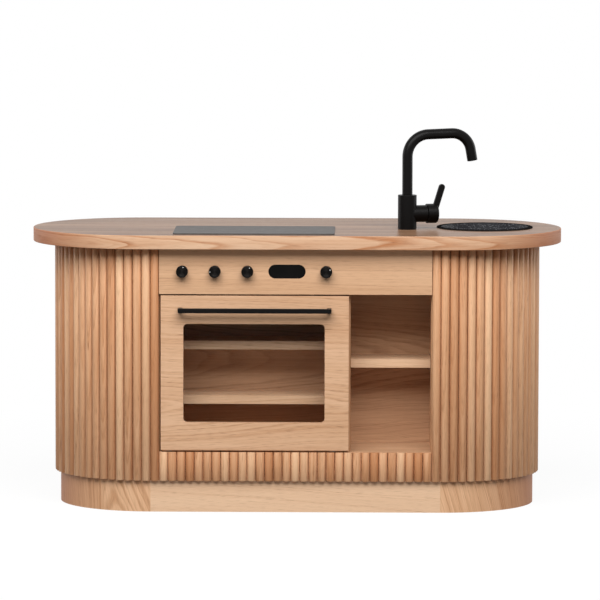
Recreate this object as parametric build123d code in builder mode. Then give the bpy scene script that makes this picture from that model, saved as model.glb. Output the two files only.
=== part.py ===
from build123d import *
import os
from math import cos, floor, pi, radians, sin, sqrt

# Play kitchen: an oak cabinet with slatted half-round ends, an oven with a drop-down
# glazed door, an open niche, a hob, a sink and a swivelling tap.
# The front faces -Y, +X is to the right, and the origin is on the floor at the middle.

# Driving dimensions, in millimetres and degrees

# Worktop
top_length = 1200.0
top_depth = 504.0
top_thickness = 31.0
top_edge_round = 1.5
top_overhang = 26.0
worktop_height = 625.0

# Boards
board = 19.0
thin_board = 9.0

# Slats: half-round strips glued side by side on the body
slat_pitch = 19.7
slat_gap = 1.0
slat_thickness = 12.0
slat_cheek = 3.5
straight_slats = 33
opening_slats = 31

# Body
plinth_height = 71.0
plinth_setback = 0.5
apron_height = 65.0
control_panel_height = 102.2
compartment_depth = 184.0
partition_reveal = 2.35
block_length = 40.0
block_width = 22.0
block_height = 50.0

# Oven door
door_width = 421.0
door_height = 349.2
door_thickness = 19.0
door_proud = 9.0
door_side_gap = 3.85
door_bottom_gap = 3.0
door_back_gap = 2.0
door_bottom_round = 3.0
door_edge_round = 0.8
divider_reveal = 3.5
window_width = 316.5
window_height = 222.5
window_left_margin = 50.5
window_bottom_margin = 63.5
window_radius = 9.5
window_rebate = 8.0
pane_thickness = 3.0
retainer_thickness = 6.0
pane_clearance = 0.3

# Door handle: a square bar turned back to the door at both ends
handle_length = 343.0
handle_section = 10.4
handle_reach = 28.0
handle_rise = 317.5
handle_round = 1.2
screw_radius = 2.0
screw_head_radius = 4.0
screw_head_height = 2.4
screw_bite = 10.0
screw_clearance = 0.05

# Door hinges: a steel arm reaches from the cabinet floor into a notch in the door
pivot_inset = 8.0
pivot_rise = 8.0
pin_radius = 2.0
pin_bite = 10.0
pin_clearance = 0.08
bracket_side_gap = 14.0
arm_width = 12.0
arm_thickness = 7.0
arm_side_clearance = 0.5
arm_stop_clearance = 0.5
bracket_foot = 36.0
bracket_plate = 2.0

# Door catches under the compartment ceiling
catch_inset = 60.0
catch_width = 36.0
catch_height = 11.0
catch_length = 16.0
catch_clearance = 0.4
strike_thickness = 1.2
strike_height = 13.0
strike_top_margin = 3.0

# Shelves
oven_shelf_rises = (99.5, 223.2)
niche_shelf_rise = 183.0
shelf_setback = 62.0
shelf_clearance = 0.5
shelf_pin_radius = 2.5
shelf_pin_length = 16.0
shelf_pin_inset = 22.0
shelf_pin_clearance = 0.1

# Hob
hob_width = 361.5
hob_depth = 207.0
hob_thickness = 6.0
hob_sunk = 3.0
hob_radius = 12.0
hob_edge = 0.8
hob_clearance = 0.4
hob_x = -94.0
hob_y = -118.5

# Sink
sink_shell_gap = 3.4
sink_y = 0.0
sink_rim_radius = 109.5
sink_rim_height = 3.0
sink_rim_round = 1.2
sink_mouth_radius = 99.0
sink_floor_radius = 82.0
sink_depth = 84.0
sink_corner = 38.0
sink_wall = 2.0
sink_clearance = 0.5
drain_radius = 18.0
strainer_radius = 23.0
strainer_thickness = 1.6
strainer_neck = 9.0
strainer_neck_wall = 2.0
strainer_clearance = 0.2
strainer_hole_radius = 2.2
strainer_hole_circle = 10.0
strainer_holes = 6

# Control panel
panel_clearance = 0.3
knob_radius = 13.25
knob_length = 16.0
knob_edge = 1.2
knob_dish_radius = 8.0
knob_dish_depth = 0.8
knob_gap = 0.6
knob_rise = 51.2
knob_socket = 10.0
knob_dot_radius = 1.1
knob_dot_circle = 10.2
knob_dot_depth = 0.4
knob_dot_angles = (75.0, 180.0, 60.0, 30.0)
first_knob_x = -253.5
knob_spacing = 72.9
last_knob_x = 68.4
shaft_radius = 3.0
shaft_clearance = 0.08
shaft_collar_radius = 6.0
shaft_collar = 3.0
shaft_collar_gap = 0.3
bushing_radius = 5.0
bushing_flange_radius = 8.0
bushing_flange = 1.0
bushing_tail = 6.0
nut_across = 14.0
nut_thickness = 3.5
thread_clearance = 0.1
display_x = -19.2
display_width = 83.0
display_height = 31.0
display_thickness = 3.0
display_clearance = 0.2

# Tap
tap_x = 249.8
tap_back_panel_gap = 4.37
tap_turn = 17.0
tap_radius = 21.25
tap_height = 76.5
tap_edge = 1.0
gasket_radius = 20.5
gasket_thickness = 1.5
shank_radius = 9.8
shank_tail = 14.0
shank_clearance = 0.7
back_nut_across = 34.0
back_nut_thickness = 7.0
pipe_radius = 11.7
pipe_bore = 9.5
spout_riser = 86.0
first_bend_radius = 50.0
spout_run = 56.0
second_bend_radius = 44.5
spout_rise_angle = 1.5
outlet_lean = 10.1
outlet_length = 26.1
aerator_length = 7.0
aerator_hole_radius = 1.3
aerator_hole_circle = 5.0
aerator_holes = 8
spigot_height = 24.0
running_clearance = 0.08
seat_clearance = 0.3
tap_arm_rise = 34.8
tap_arm_radius = 19.2
tap_arm_reach = 44.7
cap_radius = 22.0
cap_length = 25.0
cap_gap = 0.8
cap_round = 5.0
cap_pin_radius = 9.0
cap_pin_length = 13.0
cap_end_clearance = 0.4
lever_width = 14.0
lever_thickness = 8.0
lever_round = 1.6
lever_lean = 17.8
lever_offset = 21.0
lever_root = 12.0
lever_length = 49.5

# The body stands back under the worktop, and its round ends take as many whole slats as fit
body_radius = top_depth / 2 - top_overhang - slat_thickness
end_slats = floor(pi * body_radius / slat_pitch)

# Heights worked out from the driving dimensions
top_underside = worktop_height - top_thickness
frame_bottom = top_underside - board
panel_bottom = top_underside - control_panel_height
ceiling_top = panel_bottom + board
deck_top = plinth_height + board
floor_top = plinth_height + apron_height
floor_bottom = floor_top - board
door_bottom = floor_top + door_bottom_gap
door_top = door_bottom + door_height
window_bottom = door_bottom + window_bottom_margin
window_middle_z = window_bottom + window_height / 2
handle_z = door_bottom + handle_rise
knob_z = panel_bottom + knob_rise

# Places along X
straight_half = straight_slats * slat_pitch / 2
opening_half = opening_slats * slat_pitch / 2
partition_face = opening_half - partition_reveal
door_left = -opening_half + door_side_gap
door_right = door_left + door_width
door_middle = (door_left + door_right) / 2
divider_right = door_right + divider_reveal
divider_left = divider_right - board
window_middle_x = door_left + window_left_margin + window_width / 2
knob_places = (
    first_knob_x,
    first_knob_x + knob_spacing,
    first_knob_x + 2 * knob_spacing,
    last_knob_x,
)

# Places along Y, negative towards the front
door_front = -body_radius - door_proud
door_back = door_front + door_thickness
carcass_front = door_back + door_back_gap
inner_radius = body_radius - thin_board
panel_back = -inner_radius
panel_thickness = panel_back - door_front
compartment_back = -body_radius + compartment_depth
back_nut_radius = back_nut_across / sqrt(3)
tap_y = compartment_back - tap_back_panel_gap - back_nut_radius
shelf_front = carcass_front + shelf_setback
plinth_radius = body_radius - plinth_setback
plinth_inner = plinth_radius - board
handle_front = door_front - handle_reach

# The door's hinge axis, and the notch round the steel arm
pivot_y = door_front + pivot_inset
pivot_z = door_bottom + pivot_rise
notch_half = arm_thickness / 2 + arm_stop_clearance
notch_width = arm_width + 2 * arm_side_clearance
notch_places = (
    -partition_face + bracket_side_gap + arm_width / 2,
    divider_left - bracket_side_gap - arm_width / 2,
)
pin_spans = (
    (door_left, notch_places[0] + notch_width / 2 + pin_bite),
    (notch_places[1] - notch_width / 2 - pin_bite, door_right),
)

os.makedirs("parts", exist_ok=True)


def finish(builder, name):
    """Labels a finished piece and writes it as one STEP file."""
    builder.part.label = name
    export_step(builder.part, f"parts/{name}.step")


def block(x_span, y_span, z_span, mode=Mode.ADD):
    """A box between two corners, for the part being built."""
    spans = (x_span, y_span, z_span)
    middle = tuple((low + high) / 2 for low, high in spans)
    with Locations(middle):
        Box(*(high - low for low, high in spans), mode=mode)


def front_plane(x, y, z):
    """A plane that faces the front, with its own x along +X and its own y up."""
    return Plane(origin=(x, y, z), x_dir=(1, 0, 0), z_dir=(0, -1, 0))


def slat_section():
    """A slat seen from above: flat at the back, half round towards +X."""
    half = (slat_pitch - slat_gap) / 2
    with BuildSketch() as section:
        with BuildLine():
            Polyline((slat_cheek, -half), (0, -half), (0, half), (slat_cheek, half))
            ThreePointArc((slat_cheek, half), (slat_thickness, 0), (slat_cheek, -half))
        make_face()
    return section.sketch


def straight_row(count, facing):
    """Places for a centred row of slats on the flat front (-1) or back (+1)."""
    offsets = [(index - (count - 1) / 2) * slat_pitch for index in range(count)]
    return [Location((x, facing * body_radius, 0), (0, 0, 90 * facing)) for x in offsets]


def end_row(side):
    """Places for the slats that go round the right (+1) or left (-1) half-round end."""
    first_angle = -90 if side > 0 else 90
    step = 180 / end_slats
    places = []
    for index in range(end_slats):
        angle = first_angle + (index + 0.5) * step
        x = side * straight_half + body_radius * cos(radians(angle))
        y = body_radius * sin(radians(angle))
        places.append(Location((x, y, 0), (0, 0, angle)))
    return places


def half_ring(side, outer, inner, leg):
    """A half-round wall seen from above, whose front end runs on straight by leg."""
    centre = side * straight_half
    end = centre - side * leg
    with BuildSketch() as section:
        with BuildLine():
            ThreePointArc((centre, -inner), (centre + side * inner, 0), (centre, inner))
            Line((centre, inner), (centre, outer))
            ThreePointArc((centre, outer), (centre + side * outer, 0), (centre, -outer))
            if leg > 0:
                Polyline((centre, -outer), (end, -outer), (end, -inner), (centre, -inner))
            else:
                Line((centre, -outer), (centre, -inner))
        make_face()
    return section.sketch


slat = slat_section()

# Plinth: straight boards front and back, bent ends, and blocks glued behind the seams
plinth_boards = {"plinth_front_board": -1, "plinth_back_board": 1}
for name, facing in plinth_boards.items():
    faces = sorted((facing * plinth_radius, facing * plinth_inner))
    with BuildPart() as plinth_board:
        block((-straight_half, straight_half), faces, (0, plinth_height))
    finish(plinth_board, name)

sides = {"left": -1, "right": 1}
for name, side in sides.items():
    ring = half_ring(side, plinth_radius, plinth_inner, 0)
    with BuildPart() as plinth_end:
        with BuildSketch():
            add(ring)
        extrude(amount=plinth_height)
    finish(plinth_end, f"plinth_{name}_end")

with BuildPart() as plinth_blocks:
    with BuildSketch(Plane.XY.offset(plinth_height - block_height)):
        with GridLocations(2 * straight_half, 2 * plinth_inner - block_width, 2, 2):
            Rectangle(block_length, block_width)
        SlotCenterToCenter(2 * straight_half, 2 * plinth_inner, mode=Mode.INTERSECT)
    extrude(amount=block_height)
finish(plinth_blocks, "plinth_blocks")

# Carcass: a deck on the plinth, three uprights, a floor, a ceiling and a back
with BuildPart() as base_deck:
    with BuildSketch(Plane.XY.offset(plinth_height)):
        SlotCenterToCenter(2 * straight_half, 2 * body_radius)
    extrude(amount=board)
finish(base_deck, "base_deck")

lower_shelf, upper_shelf = (floor_top + rise for rise in oven_shelf_rises)
niche_shelf_bottom = floor_top + niche_shelf_rise
pin_rows = (shelf_front + shelf_pin_inset, compartment_back - shelf_pin_inset)


def pin_places(x, shelf_bottoms):
    """Places for shelf pins that lie along X, half in the upright whose face is at x."""
    heights = [bottom - shelf_pin_radius for bottom in shelf_bottoms]
    return [Location((x, y, z), (0, 90, 0)) for z in heights for y in pin_rows]


oven_left_pins = pin_places(-partition_face, (lower_shelf, upper_shelf))
oven_right_pins = pin_places(divider_left, (lower_shelf, upper_shelf))
niche_left_pins = pin_places(divider_right, (niche_shelf_bottom,))
niche_right_pins = pin_places(partition_face, (niche_shelf_bottom,))
pin_hole_radius = shelf_pin_radius + shelf_pin_clearance
pin_hole_length = shelf_pin_length + 2 * shelf_pin_clearance

partition_pins = {"left": oven_left_pins, "right": niche_right_pins}
for name, side in sides.items():
    faces = sorted((side * partition_face, side * (partition_face + board)))
    with BuildPart() as partition:
        block(faces, (-inner_radius, inner_radius), (deck_top, frame_bottom))
        with Locations(*partition_pins[name]):
            Cylinder(pin_hole_radius, pin_hole_length, mode=Mode.SUBTRACT)
    finish(partition, f"{name}_partition")

with BuildPart() as divider:
    block((divider_left, divider_right), (carcass_front, compartment_back), (floor_top, panel_bottom))
    with Locations(*oven_right_pins, *niche_left_pins):
        Cylinder(pin_hole_radius, pin_hole_length, mode=Mode.SUBTRACT)
finish(divider, "divider")

compartment_span = (-partition_face, partition_face)
with BuildPart() as cabinet_floor:
    block(compartment_span, (-inner_radius, compartment_back), (floor_bottom, floor_top))
finish(cabinet_floor, "cabinet_floor")

with BuildPart() as ceiling_board:
    block(compartment_span, (panel_back, compartment_back), (panel_bottom, ceiling_top))
finish(ceiling_board, "ceiling_board")

with BuildPart() as compartment_back_panel:
    block(compartment_span, (compartment_back, compartment_back + thin_board), (deck_top, frame_bottom))
finish(compartment_back_panel, "compartment_back_panel")

with BuildPart() as apron_board:
    block((-opening_half, opening_half), (-body_radius, -inner_radius), (deck_top, floor_top))
finish(apron_board, "apron_board")

with BuildPart() as back_wall:
    block((-straight_half, straight_half), (inner_radius, body_radius), (deck_top, frame_bottom))
finish(back_wall, "back_wall")

for name, side in sides.items():
    shell = half_ring(side, body_radius, inner_radius, straight_half - opening_half)
    with BuildPart() as end_shell:
        with BuildSketch(Plane.XY.offset(deck_top)):
            add(shell)
        extrude(amount=frame_bottom - deck_top)
    finish(end_shell, f"{name}_end_shell")

# Sink outline, needed by the boards that it hangs in
wall_slope = (sink_mouth_radius - sink_floor_radius) / (sink_rim_height + sink_depth)
wall_across = sink_wall * sqrt(1 + wall_slope**2)
sink_neck_radius = sink_floor_radius + wall_slope * sink_depth + wall_across
sink_cutout_radius = sink_neck_radius + sink_clearance
sink_x = straight_half + inner_radius - sink_shell_gap - sink_neck_radius
shank_hole_radius = shank_radius + shank_clearance

with BuildPart() as top_frame:
    with BuildSketch(Plane.XY.offset(frame_bottom)):
        SlotCenterToCenter(2 * straight_half, 2 * body_radius)
        with Locations((0, panel_back - body_radius)):
            Rectangle(2 * opening_half, 2 * body_radius, mode=Mode.SUBTRACT)
        with Locations((sink_x, sink_y)):
            Circle(sink_cutout_radius, mode=Mode.SUBTRACT)
        with Locations((tap_x, tap_y)):
            Circle(shank_hole_radius, mode=Mode.SUBTRACT)
    extrude(amount=board)
finish(top_frame, "top_frame")

# Slats: full height round the ends and the back, short ones under the opening
full_slat = top_underside - plinth_height
front_row = straight_row(straight_slats, -1)
for name, side in sides.items():
    beside_opening = [place for place in front_row if side * place.position.X > opening_half]
    with BuildPart() as end_slat_row:
        with BuildSketch(Plane.XY.offset(plinth_height)):
            with Locations(*end_row(side), *beside_opening):
                add(slat)
        extrude(amount=full_slat)
    finish(end_slat_row, f"{name}_end_slats")

with BuildPart() as back_slats:
    with BuildSketch(Plane.XY.offset(plinth_height)):
        with Locations(*straight_row(straight_slats, 1)):
            add(slat)
    extrude(amount=full_slat)
finish(back_slats, "back_slats")

with BuildPart() as apron_slats:
    with BuildSketch(Plane.XY.offset(plinth_height)):
        with Locations(*straight_row(opening_slats, -1)):
            add(slat)
    extrude(amount=apron_height)
finish(apron_slats, "apron_slats")

# Shelves on their pins
shelf_depth_span = (shelf_front, compartment_back)
shelves = {
    "oven_lower_shelf": (-partition_face, divider_left, lower_shelf),
    "oven_upper_shelf": (-partition_face, divider_left, upper_shelf),
    "niche_shelf": (divider_right, partition_face, niche_shelf_bottom),
}
for name, (left, right, bottom) in shelves.items():
    with BuildPart() as shelf:
        block((left + shelf_clearance, right - shelf_clearance), shelf_depth_span, (bottom, bottom + board))
    finish(shelf, name)

with BuildPart() as shelf_pins:
    with Locations(*oven_left_pins, *oven_right_pins, *niche_left_pins, *niche_right_pins):
        Cylinder(shelf_pin_radius, shelf_pin_length)
finish(shelf_pins, "shelf_pins")

# Worktop with the hob pocket, the sink cut-out and the tap hole
hob_pocket_width = hob_width + 2 * hob_clearance
hob_pocket_depth = hob_depth + 2 * hob_clearance
with BuildPart() as countertop:
    with BuildSketch(Plane.XY.offset(top_underside)):
        SlotCenterToCenter(top_length - top_depth, top_depth)
    extrude(amount=top_thickness)
    rims = countertop.edges().group_by(Axis.Z)
    fillet(rims[0] + rims[-1], radius=top_edge_round)
    with BuildSketch(Plane.XY.offset(worktop_height)):
        with Locations((hob_x, hob_y)):
            RectangleRounded(hob_pocket_width, hob_pocket_depth, hob_radius + hob_clearance)
    extrude(amount=-hob_sunk, mode=Mode.SUBTRACT)
    with BuildSketch(Plane.XY.offset(top_underside)):
        with Locations((sink_x, sink_y)):
            Circle(sink_cutout_radius)
        with Locations((tap_x, tap_y)):
            Circle(shank_hole_radius)
    extrude(amount=top_thickness, mode=Mode.SUBTRACT)
finish(countertop, "countertop")

with BuildPart() as hob_panel:
    with BuildSketch(Plane.XY.offset(worktop_height - hob_sunk)):
        with Locations((hob_x, hob_y)):
            RectangleRounded(hob_width, hob_depth, hob_radius)
    extrude(amount=hob_thickness)
    chamfer(hob_panel.edges().group_by(Axis.Z)[-1], length=hob_edge)
finish(hob_panel, "hob_panel")

# Sink: a pressed bowl whose flat rim lies on the worktop
sink_plane = front_plane(sink_x, sink_y, worktop_height)
sink_axis = Axis((sink_x, sink_y, 0), (0, 0, 1))
outer_floor_radius = sink_floor_radius - wall_slope * sink_wall + wall_across
with BuildPart() as sink_bowl:
    with BuildSketch(sink_plane):
        with BuildLine():
            FilletPolyline(
                (drain_radius, -sink_depth),
                (sink_floor_radius, -sink_depth),
                (sink_mouth_radius, sink_rim_height),
                radius=sink_corner,
            )
            Polyline(
                (sink_mouth_radius, sink_rim_height),
                (sink_rim_radius - sink_rim_round, sink_rim_height),
                (sink_rim_radius, sink_rim_height - sink_rim_round),
                (sink_rim_radius, 0),
                (sink_neck_radius, 0),
            )
            FilletPolyline(
                (sink_neck_radius, 0),
                (outer_floor_radius, -sink_depth - sink_wall),
                (drain_radius, -sink_depth - sink_wall),
                radius=sink_corner + sink_wall,
            )
            Line((drain_radius, -sink_depth - sink_wall), (drain_radius, -sink_depth))
        make_face()
    revolve(axis=sink_axis)
finish(sink_bowl, "sink_bowl")

strainer_neck_radius = drain_radius - strainer_clearance
with BuildPart() as sink_strainer:
    with BuildSketch(Plane.XY.offset(worktop_height - sink_depth)):
        with Locations((sink_x, sink_y)):
            Circle(strainer_radius)
    extrude(amount=strainer_thickness)
    with BuildSketch(Plane.XY.offset(worktop_height - sink_depth)):
        with Locations((sink_x, sink_y)):
            Circle(strainer_neck_radius)
            Circle(strainer_neck_radius - strainer_neck_wall, mode=Mode.SUBTRACT)
    extrude(amount=-strainer_neck)
    with BuildSketch(Plane.XY.offset(worktop_height - sink_depth)):
        with Locations((sink_x, sink_y)):
            Circle(strainer_hole_radius)
            with PolarLocations(strainer_hole_circle, strainer_holes):
                Circle(strainer_hole_radius)
    extrude(amount=strainer_thickness, mode=Mode.SUBTRACT)
finish(sink_strainer, "sink_strainer")

# Control panel: a flat board with four bushings and a sunk display window
bushing_hole_radius = bushing_radius + thread_clearance
panel_half = opening_half - panel_clearance
with BuildPart() as control_panel:
    block((-panel_half, panel_half), (door_front, panel_back), (panel_bottom, top_underside))
    with BuildSketch(front_plane(0, panel_back, knob_z)):
        with Locations(*[(x, 0) for x in knob_places]):
            Circle(bushing_hole_radius)
    extrude(amount=panel_thickness, mode=Mode.SUBTRACT)
    with BuildSketch(front_plane(display_x, door_front, knob_z)):
        SlotOverall(display_width + 2 * display_clearance, display_height + 2 * display_clearance)
    extrude(amount=-display_thickness, mode=Mode.SUBTRACT)
finish(control_panel, "control_panel")

with BuildPart() as display_window:
    with BuildSketch(front_plane(display_x, door_front, knob_z)):
        SlotOverall(display_width, display_height)
    extrude(amount=-display_thickness)
finish(display_window, "display_window")

bushing_bore = shaft_radius + shaft_clearance
with BuildPart() as knob_bushings:
    for x in knob_places:
        with BuildSketch(front_plane(x, door_front, knob_z)):
            Circle(bushing_flange_radius)
        extrude(amount=bushing_flange)
        with BuildSketch(front_plane(x, door_front, knob_z)):
            Circle(bushing_radius)
        extrude(amount=-(panel_thickness + bushing_tail))
        with BuildSketch(front_plane(x, door_front - bushing_flange, knob_z)):
            Circle(bushing_bore)
        extrude(amount=-(bushing_flange + panel_thickness + bushing_tail), mode=Mode.SUBTRACT)
finish(knob_bushings, "knob_bushings")

with BuildPart() as knob_nuts:
    for x in knob_places:
        with BuildSketch(front_plane(x, panel_back, knob_z)):
            RegularPolygon(nut_across / 2, 6, major_radius=False)
            Circle(bushing_hole_radius, mode=Mode.SUBTRACT)
        extrude(amount=-nut_thickness)
finish(knob_nuts, "knob_nuts")

# Knobs: turned discs pushed on steel shafts, which a collar holds behind the panel
knob_back = door_front - bushing_flange - knob_gap
knob_front = knob_back - knob_length
shaft_tip = knob_back - knob_socket
shaft_end = panel_back + bushing_tail + shaft_collar_gap + shaft_collar
for number, (x, angle) in enumerate(zip(knob_places, knob_dot_angles), 1):
    with BuildPart() as knob:
        with BuildSketch(front_plane(x, knob_back, knob_z)):
            Circle(knob_radius)
        extrude(amount=knob_length)
        chamfer(knob.edges().group_by(Axis.Y)[0], length=knob_edge)
        with BuildSketch(front_plane(x, knob_front, knob_z)):
            Circle(knob_dish_radius)
        extrude(amount=-knob_dish_depth, mode=Mode.SUBTRACT)
        with BuildSketch(front_plane(x, knob_front, knob_z)):
            with PolarLocations(knob_dot_circle, 1, start_angle=angle):
                Circle(knob_dot_radius)
        extrude(amount=-knob_dot_depth, mode=Mode.SUBTRACT)
        with BuildSketch(front_plane(x, knob_back, knob_z)):
            Circle(shaft_radius)
        extrude(amount=knob_socket, mode=Mode.SUBTRACT)
    finish(knob, f"knob_{number}")

    with BuildPart() as knob_shaft:
        with BuildSketch(front_plane(x, shaft_end, knob_z)):
            Circle(shaft_radius)
        extrude(amount=shaft_end - shaft_tip)
        with BuildSketch(front_plane(x, shaft_end, knob_z)):
            Circle(shaft_collar_radius)
        extrude(amount=shaft_collar)
    finish(knob_shaft, f"knob_shaft_{number}")

# Oven door: a board with a window, a pane in a rebate at the back, and its retainer
rebate_depth = pane_thickness + retainer_thickness
rebate_width = window_width + 2 * window_rebate
rebate_height = window_height + 2 * window_rebate
rebate_radius = window_radius + window_rebate
window_plane = front_plane(window_middle_x, door_back, window_middle_z)
handle_middle = handle_length / 2 - handle_section / 2
handle_ends = (door_middle - handle_middle, door_middle + handle_middle)
strike_places = (door_left + catch_inset, door_right - catch_inset)
strike_top = door_top - strike_top_margin
strike_span = (strike_top - strike_height, strike_top)
strike_faces = (door_back - strike_thickness, door_back)

with BuildPart() as door_panel:
    block((door_left, door_right), (door_front, door_back), (door_bottom, door_top))
    bottom_edges = door_panel.faces().sort_by(Axis.Z)[0].edges().filter_by(Axis.X)
    fillet(bottom_edges, radius=door_bottom_round)
    front_edges = door_panel.faces().sort_by(Axis.Y)[0].edges()
    fillet(front_edges.sort_by(Axis.Z)[1:], radius=door_edge_round)
    with BuildSketch(window_plane):
        RectangleRounded(window_width, window_height, window_radius)
    extrude(amount=door_thickness, mode=Mode.SUBTRACT)
    with BuildSketch(window_plane):
        RectangleRounded(rebate_width, rebate_height, rebate_radius)
    extrude(amount=rebate_depth, mode=Mode.SUBTRACT)
    for x in notch_places:
        notch_x = (x - notch_width / 2, x + notch_width / 2)
        notch_y = (pivot_y - notch_half, door_back)
        block(notch_x, notch_y, (door_bottom, pivot_z + notch_half), mode=Mode.SUBTRACT)
    for low, high in pin_spans:
        with Locations(Location(((low + high) / 2, pivot_y, pivot_z), (0, 90, 0))):
            Cylinder(pin_radius, high - low, mode=Mode.SUBTRACT)
    with BuildSketch(front_plane(0, door_back, handle_z)):
        with Locations(*[(x, 0) for x in handle_ends]):
            Circle(screw_radius + screw_clearance)
    extrude(amount=door_thickness, mode=Mode.SUBTRACT)
    with BuildSketch(front_plane(0, door_back, handle_z)):
        with Locations(*[(x, 0) for x in handle_ends]):
            Circle(screw_head_radius + screw_clearance)
    extrude(amount=screw_head_height, mode=Mode.SUBTRACT)
    for x in strike_places:
        strike_x = (x - catch_width / 2, x + catch_width / 2)
        block(strike_x, strike_faces, strike_span, mode=Mode.SUBTRACT)
finish(door_panel, "door_panel")

pane_width = rebate_width - 2 * pane_clearance
pane_height = rebate_height - 2 * pane_clearance
pane_corner = rebate_radius - pane_clearance
with BuildPart() as window_pane:
    with BuildSketch(front_plane(window_middle_x, door_back - retainer_thickness, window_middle_z)):
        RectangleRounded(pane_width, pane_height, pane_corner)
    extrude(amount=pane_thickness)
finish(window_pane, "window_pane")

with BuildPart() as pane_retainer:
    with BuildSketch(window_plane):
        RectangleRounded(pane_width, pane_height, pane_corner)
        RectangleRounded(window_width, window_height, window_radius, mode=Mode.SUBTRACT)
    extrude(amount=retainer_thickness)
finish(pane_retainer, "pane_retainer")

bar_span = (handle_z - handle_section / 2, handle_z + handle_section / 2)
ends_span = (door_middle - handle_length / 2, door_middle + handle_length / 2)
gap_half = handle_length / 2 - handle_section
gap_span = (door_middle - gap_half, door_middle + gap_half)
with BuildPart() as door_handle:
    block(ends_span, (handle_front, door_front), bar_span)
    corner_edges = door_handle.edges().filter_by(Axis.Y)
    front_edges = door_handle.faces().sort_by(Axis.Y)[0].edges()
    fillet(corner_edges + front_edges, radius=handle_round)
    block(gap_span, (handle_front + handle_section, door_front), bar_span, mode=Mode.SUBTRACT)
    with BuildSketch(front_plane(0, door_front, handle_z)):
        with Locations(*[(x, 0) for x in handle_ends]):
            Circle(screw_radius)
    extrude(amount=screw_bite, mode=Mode.SUBTRACT)
finish(door_handle, "door_handle")

with BuildPart() as handle_screws:
    for x in handle_ends:
        with BuildSketch(front_plane(x, door_back, handle_z)):
            Circle(screw_head_radius)
        extrude(amount=screw_head_height)
        with BuildSketch(front_plane(x, door_back, handle_z)):
            Circle(screw_radius)
        extrude(amount=door_thickness + screw_bite)
finish(handle_screws, "handle_screws")

with BuildPart() as strike_plates:
    for x in strike_places:
        strike_x = (x - catch_width / 2, x + catch_width / 2)
        block(strike_x, strike_faces, strike_span)
finish(strike_plates, "strike_plates")

# Magnetic catches screwed under the compartment ceiling, just behind the strike plates
catch_front = door_back + catch_clearance
catch_faces = (catch_front, catch_front + catch_length)
with BuildPart() as door_catches:
    for x in strike_places:
        catch_x = (x - catch_width / 2, x + catch_width / 2)
        block(catch_x, catch_faces, (panel_bottom - catch_height, panel_bottom))
finish(door_catches, "door_catches")

# Hinges: pins driven in from the door's edges, turning in the eyes of two steel arms
with BuildPart() as hinge_pins:
    for low, high in pin_spans:
        with Locations(Location(((low + high) / 2, pivot_y, pivot_z), (0, 90, 0))):
            Cylinder(pin_radius, high - low)
finish(hinge_pins, "hinge_pins")

eye_radius = arm_thickness / 2
arm_back = carcass_front + arm_thickness
foot_end = carcass_front + bracket_foot
plate_top = floor_top + bracket_plate
with BuildPart() as hinge_brackets:
    for x in notch_places:
        side_plane = Plane(origin=(x - arm_width / 2, 0, 0), x_dir=(0, 1, 0), z_dir=(1, 0, 0))
        with BuildSketch(side_plane):
            with BuildLine():
                Polyline(
                    (pivot_y, pivot_z + eye_radius),
                    (arm_back, pivot_z + eye_radius),
                    (arm_back, plate_top),
                    (foot_end, plate_top),
                    (foot_end, floor_top),
                    (carcass_front, floor_top),
                    (carcass_front, pivot_z - eye_radius),
                    (pivot_y, pivot_z - eye_radius),
                )
                ThreePointArc(
                    (pivot_y, pivot_z - eye_radius),
                    (pivot_y - eye_radius, pivot_z),
                    (pivot_y, pivot_z + eye_radius),
                )
            make_face()
            with Locations((pivot_y, pivot_z)):
                Circle(pin_radius + pin_clearance, mode=Mode.SUBTRACT)
        extrude(amount=arm_width)
finish(hinge_brackets, "hinge_brackets")

# Tap: a body on a gasket, its threaded shank through the top, and a back nut below
turn_x, turn_y = cos(radians(tap_turn)), sin(radians(tap_turn))
tap_foot = worktop_height + gasket_thickness
tap_top = tap_foot + tap_height
spout_plane = Plane(origin=(tap_x, tap_y, 0), x_dir=(turn_x, turn_y, 0), z_dir=(turn_y, -turn_x, 0))
arm_origin = (tap_x, tap_y, worktop_height + tap_arm_rise)
arm_plane = Plane(origin=arm_origin, x_dir=(0, 0, 1), z_dir=(turn_x, turn_y, 0))

with BuildPart() as tap_body:
    with BuildSketch(Plane.XY.offset(tap_foot)):
        with Locations((tap_x, tap_y)):
            Circle(tap_radius)
    extrude(amount=tap_height)
    chamfer(tap_body.edges().group_by(Axis.Z)[-1], length=tap_edge)
    with BuildSketch(arm_plane):
        Circle(tap_arm_radius)
    extrude(amount=tap_arm_reach)
    with BuildSketch(arm_plane):
        Circle(cap_pin_radius)
    extrude(amount=tap_arm_reach + cap_pin_length)
    with BuildSketch(Plane.XY.offset(tap_top)):
        with Locations((tap_x, tap_y)):
            Circle(pipe_bore - running_clearance)
    extrude(amount=spigot_height)
    with BuildSketch(Plane.XY.offset(frame_bottom - shank_tail)):
        with Locations((tap_x, tap_y)):
            Circle(shank_radius)
    extrude(amount=tap_foot - frame_bottom + shank_tail)
finish(tap_body, "tap_body")

with BuildPart() as tap_gasket:
    with BuildSketch(Plane.XY.offset(worktop_height)):
        with Locations((tap_x, tap_y)):
            Circle(gasket_radius)
            Circle(shank_hole_radius, mode=Mode.SUBTRACT)
    extrude(amount=gasket_thickness)
finish(tap_gasket, "tap_gasket")

with BuildPart() as tap_back_nut:
    with BuildSketch(Plane.XY.offset(frame_bottom - back_nut_thickness)):
        with Locations((tap_x, tap_y)):
            RegularPolygon(back_nut_across / 2, 6, major_radius=False)
            Circle(shank_radius + thread_clearance, mode=Mode.SUBTRACT)
    extrude(amount=back_nut_thickness)
finish(tap_back_nut, "tap_back_nut")

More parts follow.
